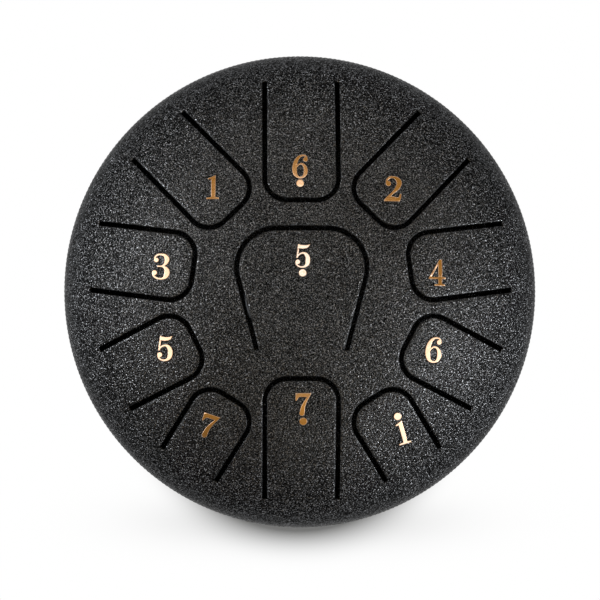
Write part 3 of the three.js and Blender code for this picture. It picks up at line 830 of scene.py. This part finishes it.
for note, (digit, dot, along, across, turn) in NUMERALS.items():
    place = lay(TONGUES[note], along, across, turn)
    drawing = DIGITS[digit]
    outlines = [pen_outline(stroke) for stroke in drawing.get("strokes", [])]
    outlines += [ball_outline(*ball) for ball in drawing.get("balls", [])]
    outlines += [plate_outline(plate) for plate in drawing.get("plates", [])]
    height = LOW_NUMERAL_HEIGHT if dot < 0 else NUMERAL_HEIGHT
    numeral = gold_piece(f"gold_numeral_{note}", [outline * height / 100 for outline in outlines], place)
    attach(numeral, f"{note}_blade")
    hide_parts(f"numeral_{note}")
    if dot:
        spot = ball_outline(0, dot * DOT_SPACING, DOT_DIAMETER / 2)
        gold_dot = gold_piece(f"gold_dot_{note}", [spot], place)
        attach(gold_dot, f"{note}_blade")
        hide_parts(f"dot_{note}")


# Tuning magnets: nickel-plated discs that hold themselves to the underside of the lower note of each
# like-sized pair of tongues, and lower its pitch. A thick one tunes by a whole tone, a thin one by a
# semitone.
MAGNET_RADIUS = 3 * MM
WHOLE_TONE_MAGNET = 2 * MM
SEMITONE_MAGNET = 1 * MM
MAGNETS = {
    "low_6": WHOLE_TONE_MAGNET,
    "1": WHOLE_TONE_MAGNET,
    "3": SEMITONE_MAGNET,
    "5": WHOLE_TONE_MAGNET,
    "7": SEMITONE_MAGNET,
}
MAGNET_INSET = 7 * MM
MAGNET_ROUND = 0.2 * MM
MAGNET_STEPS = 64
ROUND_STEPS = 6

nickel, wire = new_finish("nickel_plate")
place = wire.node("ShaderNodeTexCoord", output="Object")
haze = wire.node("ShaderNodeTexNoise", {"Vector": place, "Scale": 700, "Detail": 4, "Roughness": 0.6})
nickel_tone = wire.node(
    "ShaderNodeValToRGB", {"Fac": haze}, {"stops": [(0.3, (0.44, 0.43, 0.41)), (0.7, (0.6, 0.59, 0.57))]}
)
nickel_shader = wire.node(
    "ShaderNodeBsdfPrincipled", {"Base Color": nickel_tone, "Metallic": 1.0, "Roughness": 0.2 + haze * 0.2}
)
wire.node("ShaderNodeOutputMaterial", {"Surface": nickel_shader})


def turned_solid(profile, steps):
    """A profile that starts and ends on the axis, turned about it, with a fan of triangles at each end."""
    azimuth = np.arange(steps) * 2 * np.pi / steps
    radius, height = profile[1:-1].T
    grid = np.empty((steps, len(radius), 3))
    grid[..., 0] = np.outer(np.cos(azimuth), radius)
    grid[..., 1] = np.outer(np.sin(azimuth), radius)
    grid[..., 2] = height
    index = np.arange(steps * len(radius)).reshape(steps, -1)
    poles = np.array([[0, 0, profile[0, 1]], [0, 0, profile[-1, 1]]])
    first = np.stack([np.full(steps, index.size), np.roll(index[:, 0], -1), index[:, 0]], axis=1)
    last = np.stack([np.full(steps, index.size + 1), index[:, -1], np.roll(index[:, -1], -1)], axis=1)
    quads = grid_faces(index, wrap_columns=False)
    return np.concatenate([grid.reshape(-1, 3), poles]), [quads, np.concatenate([first, last])]


def rounded(radius, height, size):
    """A disc's rounded lower edge, as radii and heights: a quarter circle from facing down to facing out."""
    turn = np.linspace(0, np.pi / 2, ROUND_STEPS)
    return radius - size + size * np.sin(turn), height + size - size * np.cos(turn)


for note, thickness in MAGNETS.items():
    edge_radius, edge_height = rounded(MAGNET_RADIUS, 0, MAGNET_ROUND)
    lower_edge = np.stack([edge_radius, edge_height], axis=1)
    upper_edge = np.stack([edge_radius, thickness - edge_height], axis=1)[::-1]
    profile = np.concatenate([[[0, 0]], lower_edge, upper_edge, [[0, thickness]]])
    points, faces = turned_solid(profile, MAGNET_STEPS)
    spot = TONGUES[note]["tip"] + MAGNET_INSET * TONGUES[note]["along"]
    sheet_radius = CROWN_RADIUS - WALL
    outward = np.append(spot, np.sqrt(sheet_radius**2 - spot @ spot)) / sheet_radius
    sideways = np.cross([0, 1, 0], outward)
    sideways /= np.linalg.norm(sideways)
    forward = np.cross(outward, sideways)
    centre = np.array([0, 0, SEAM_Z + CROWN_CENTRE]) + (sheet_radius - thickness) * outward
    points = centre + points @ np.stack([sideways, forward, outward])
    magnet = new_piece(f"disc_magnet_{note}", points, faces, nickel, "magnet")
    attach(magnet, f"{note}_blade")
    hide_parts(f"magnet_{note}")


# Feet: three moulded bumpers of black rubber, tapered towards the table. Their tops take the curve of the
# lower shell, to which they are bonded.
FOOT_COUNT = 3
FOOT_CIRCLE = 36 * MM
FOOT_BASE_RADIUS = 6.5 * MM
FOOT_TOP_RADIUS = 8 * MM
FOOT_FILLET = 1.5 * MM
FOOT_STEPS = 72
FLANK_STEPS = 10
CROWN_STEPS = 8

rubber, wire = new_finish("black_rubber")
place = wire.node("ShaderNodeTexCoord", output="Object")
bloom = wire.node("ShaderNodeTexNoise", {"Vector": place, "Scale": 260, "Detail": 4, "Roughness": 0.6})
pores = wire.node("ShaderNodeTexNoise", {"Vector": place, "Scale": 2600, "Detail": 2, "Roughness": 0.5})
rubber_tone = wire.node(
    "ShaderNodeValToRGB",
    {"Fac": bloom},
    {"stops": [(0.3, (0.009, 0.009, 0.009)), (0.75, (0.022, 0.022, 0.021))]},
)
rubber_relief = wire.node("ShaderNodeBump", {"Height": pores, "Strength": 1.0, "Distance": 0.03 * MM})
rubber_shader = wire.node(
    "ShaderNodeBsdfPrincipled",
    {"Base Color": rubber_tone, "Roughness": 0.62 + bloom * 0.25, "Normal": rubber_relief},
)
wire.node("ShaderNodeOutputMaterial", {"Surface": rubber_shader})

# The profile rises from the base's middle round a fillet and up the flank to the shell, then over the top.
# lift is the share of a point's height that comes from the shell above it, 0 at the base and 1 at the top.
base_radius, base_height = rounded(FOOT_BASE_RADIUS, 0, FOOT_FILLET)
flank = np.linspace(0, 1, FLANK_STEPS)[1:]
foot_radius = np.concatenate(
    [
        [0],
        base_radius,
        FOOT_BASE_RADIUS + (FOOT_TOP_RADIUS - FOOT_BASE_RADIUS) * flank,
        FOOT_TOP_RADIUS * np.linspace(1, 0, CROWN_STEPS)[1:],
    ]
)
foot_height = np.concatenate([[0], base_height, np.full(len(flank) + CROWN_STEPS - 1, FOOT_FILLET)])
lift = np.concatenate([np.zeros(1 + ROUND_STEPS), flank, np.ones(CROWN_STEPS - 1)])
for number in range(FOOT_COUNT):
    turn = np.pi / 2 + number * 2 * np.pi / FOOT_COUNT
    points, faces = turned_solid(np.stack([foot_radius, foot_height], axis=1), FOOT_STEPS)
    points[:, :2] += FOOT_CIRCLE * np.array([np.cos(turn), np.sin(turn)])
    share = np.append(np.tile(lift[1:-1], FOOT_STEPS), [lift[0], lift[-1]])
    shell_above = SEAM_Z - dome_height(np.linalg.norm(points[:, :2], axis=1))
    points[:, 2] += share * (shell_above - points[:, 2])
    foot = new_piece(f"rubber_foot_{number + 1}", points, faces, rubber, "rubber")
    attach(foot, "drum")
    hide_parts(f"foot_{number + 1}")


# Studio: a white sweep that the drum stands on, a wide softbox overhead that leans away from the player, one
# at the left and one at the right near the player, and three strips close to the floor that light the rim.
SWEEP_INNER_RADIUS = 0.3
SWEEP_FLAT_RADIUS = 2.2
SWEEP_COVE_RADIUS = 1.2
SWEEP_COVE_ANGLE = np.pi / 3
SWEEP_STEPS = 24
SWEEP_TURN = 96
SHADOW_START = 52 * MM
SHADOW_END = 77.5 * MM
FRONT_SHADOW_MIDDLE = (0, -30 * MM, 0)
FRONT_SHADOW_START = 50 * MM
FRONT_SHADOW_END = 64.5 * MM
FAINT_SHADOW_SHIFT = (0, 76.5 * MM, 0)
FAINT_SHADOW_FALL = (36, 185, 0)
FAINT_SHADOW_DEPTH = 0.25

# The sweep is white to the camera and in reflections. Under the drum and in front of it a soft shadow is
# painted:
# there the white gives way to dark grey lit paper, which also takes the drum's real shadow. For the light
# that it sends back, it is lit paper everywhere.
sweep_finish, wire = new_finish("white_sweep")
# The paper is dark grey, which deepens the painted shadow
paper = wire.node("ShaderNodeBsdfDiffuse", {"Color": (0.29, 0.305, 0.32, 1)})
white = wire.node("ShaderNodeEmission", {"Color": (1, 1, 1, 1), "Strength": 1.0})
seen = wire.node("ShaderNodeLightPath", output="Is Camera Ray")
seen += wire.node("ShaderNodeLightPath", output="Is Glossy Ray")
seen += wire.node("ShaderNodeLightPath", output="Is Transmission Ray")
place = wire.node("ShaderNodeTexCoord", output="Object")
from_axis = wire.node("ShaderNodeVectorMath", {0: place}, {"operation": "LENGTH"}, "Value")
# Painted shadow under the drum: dark within SHADOW_START of the axis, clear by SHADOW_END
below = wire.node(
    "ShaderNodeMapRange",
    {"Value": from_axis, "From Min": SHADOW_START, "From Max": SHADOW_END, "To Min": 1.0, "To Max": 0.0},
)
# Painted shadow in front of the drum: a disc set towards the player
apart = wire.node(
    "ShaderNodeVectorMath", {0: place, 1: FRONT_SHADOW_MIDDLE}, {"operation": "DISTANCE"}, "Value"
)
front_painted_shadow = wire.node(
    "ShaderNodeMapRange",
    {
        "Value": apart,
        "From Min": FRONT_SHADOW_START,
        "From Max": FRONT_SHADOW_END,
        "To Min": 1.0,
        "To Max": 0.0,
    },
)
# A faint painted shadow further in front, spread wide across and short along
offset = wire.node("ShaderNodeVectorMath", {0: place, 1: FAINT_SHADOW_SHIFT}, {"operation": "ADD"})
spread = wire.node("ShaderNodeVectorMath", {0: offset, 1: FAINT_SHADOW_FALL}, {"operation": "MULTIPLY"})
squares = wire.node("ShaderNodeVectorMath", {0: spread, 1: spread}, {"operation": "DOT_PRODUCT"}, "Value")
bell = wire.node("ShaderNodeMath", {0: squares * -0.5}, {"operation": "EXPONENT"})
faint_painted_shadow = 1 - FAINT_SHADOW_DEPTH * bell
lit = wire.node("ShaderNodeMath", {0: seen, 1: 1}, {"operation": "MINIMUM"})
share = lit * (1 - below) * (1 - front_painted_shadow * front_painted_shadow * front_painted_shadow) * faint_painted_shadow * faint_painted_shadow
wire.node(
    "ShaderNodeOutputMaterial",
    {"Surface": wire.node("ShaderNodeMixShader", {0: share, 1: paper, 2: white})},
)
cove = np.linspace(0, SWEEP_COVE_ANGLE, SWEEP_STEPS)
sweep_radius = np.concatenate([[SWEEP_INNER_RADIUS], SWEEP_FLAT_RADIUS + SWEEP_COVE_RADIUS * np.sin(cove)])
sweep_height = np.concatenate([[0], SWEEP_COVE_RADIUS * (1 - np.cos(cove))])
turn = np.arange(SWEEP_TURN) * 2 * np.pi / SWEEP_TURN
sweep_points = np.stack(
    [
        np.outer(np.cos(turn), sweep_radius),
        np.outer(np.sin(turn), sweep_radius),
        np.broadcast_to(sweep_height, (SWEEP_TURN, len(sweep_radius))),
    ],
    axis=-1,
)
sweep_index = np.arange(SWEEP_TURN * len(sweep_radius)).reshape(SWEEP_TURN, -1)
inner_ring = sweep_index[:, 0]
centre_point = np.full(SWEEP_TURN, sweep_index.size)
sweep_middle = np.stack([centre_point, inner_ring, np.roll(inner_ring, -1)], axis=1)
sweep_mesh = bpy.data.meshes.new("sweep")
sweep_faces = [*grid_faces(sweep_index, wrap_columns=False)[:, ::-1].tolist(), *sweep_middle.tolist()]
sweep_mesh.from_pydata([*sweep_points.reshape(-1, 3).tolist(), (0, 0, 0)], [], sweep_faces)
sweep_mesh.shade_smooth()
sweep_mesh.materials.append(sweep_finish)
sweep = bpy.data.objects.new("sweep", sweep_mesh)
bpy.context.scene.collection.objects.link(sweep)

# Each softbox's azimuth and angle from the zenith in degrees, its distance, width, height and radiance
SOFTBOXES = {
    "overhead_softbox": (90, 18.5, 1.5, 1.3, 1.05, 1.36),
    "left_softbox": (183, 62.5, 1.2, 1.05, 0.8, 1.62),
    "right_softbox": (-40, 63.5, 1.2, 0.85, 0.78, 1.62),
    "low_left_softbox": (170, 82, 1.2, 0.8, 0.3, 12),
    "low_right_softbox": (-20, 83, 1.2, 0.8, 0.3, 14.5),
    "low_back_softbox": (80, 85, 1.2, 1.0, 0.2, 4.5),
}
LAMP_COLOUR = (0.96, 0.985, 1.01)
target = Vector((0, 0, SEAM_Z))


def facing(back, up):
    """The turn of a lamp or camera whose back points to back, with its top on the side of up."""
    right = up.cross(back).normalized()
    return Matrix((right, back.cross(right), back)).transposed().to_euler()


def softbox(name, azimuth, from_zenith, distance, width, height, radiance):
    """A rectangular lamp that faces the drum, of even brightness: its power is radiance times pi times its
    area."""
    flat, steep = np.radians(azimuth), np.radians(from_zenith)
    direction = Vector((np.sin(steep) * np.cos(flat), np.sin(steep) * np.sin(flat), np.cos(steep)))
    lamp = bpy.data.lights.new(name, "AREA")
    lamp.shape = "RECTANGLE"
    lamp.size = width
    lamp.size_y = height
    lamp.color = LAMP_COLOUR
    lamp.energy = radiance * np.pi * width * height
    box = bpy.data.objects.new(name, lamp)
    box.location = target + distance * direction
    box.rotation_euler = facing(direction, Vector((0, 0, 1)))
    bpy.context.scene.collection.objects.link(box)


for name, placing in SOFTBOXES.items():
    softbox(name, *placing)

# The room is dim: almost dark near the horizon, warmer and lighter further up, and a cool grey overhead
world = bpy.data.worlds.new("dim_warm_room")
world.use_nodes = True
world.node_tree.nodes.clear()
wire = Wire(world.node_tree)
outward = wire.node("ShaderNodeTexCoord", output="Generated")
upward = wire.node("ShaderNodeSeparateXYZ", {0: outward}, output="Z")
room_tone = wire.node(
    "ShaderNodeValToRGB",
    {"Fac": upward},
    {
        "stops": [
            (0.3, (0.045, 0.037, 0.028)),
            (0.62, (0.352, 0.215, 0.054)),
            (0.72, (0.381, 0.232, 0.059)),
            (0.79, (0.58, 0.36, 0.095)),
            (0.92, (0.16, 0.24, 0.32)),
        ],
    },
)
room = wire.node("ShaderNodeBackground", {"Color": room_tone, "Strength": 1.0})
wire.node("ShaderNodeOutputWorld", {"Surface": room})
bpy.context.scene.world = world
bpy.context.scene.view_settings.view_transform = "Standard"

# The camera looks almost straight down, from a little to the left and towards the player
CAMERA_DISTANCE = 1.0
CAMERA_LEFT = np.radians(0.85)
CAMERA_NEAR = np.radians(0.9)
CAMERA_LENS = 185.5
AIM_NEAR = 2.75 * MM
lens = bpy.data.cameras.new("camera")
lens.lens = CAMERA_LENS
camera = bpy.data.objects.new("camera", lens)
aim = target - Vector((0, AIM_NEAR, 0))
back = Vector((-np.tan(CAMERA_LEFT), -np.tan(CAMERA_NEAR), 1)).normalized()
camera.location = aim + CAMERA_DISTANCE * back
camera.rotation_euler = facing(back, Vector((0, 1, 0)))
bpy.context.scene.collection.objects.link(camera)
bpy.context.scene.camera = camera
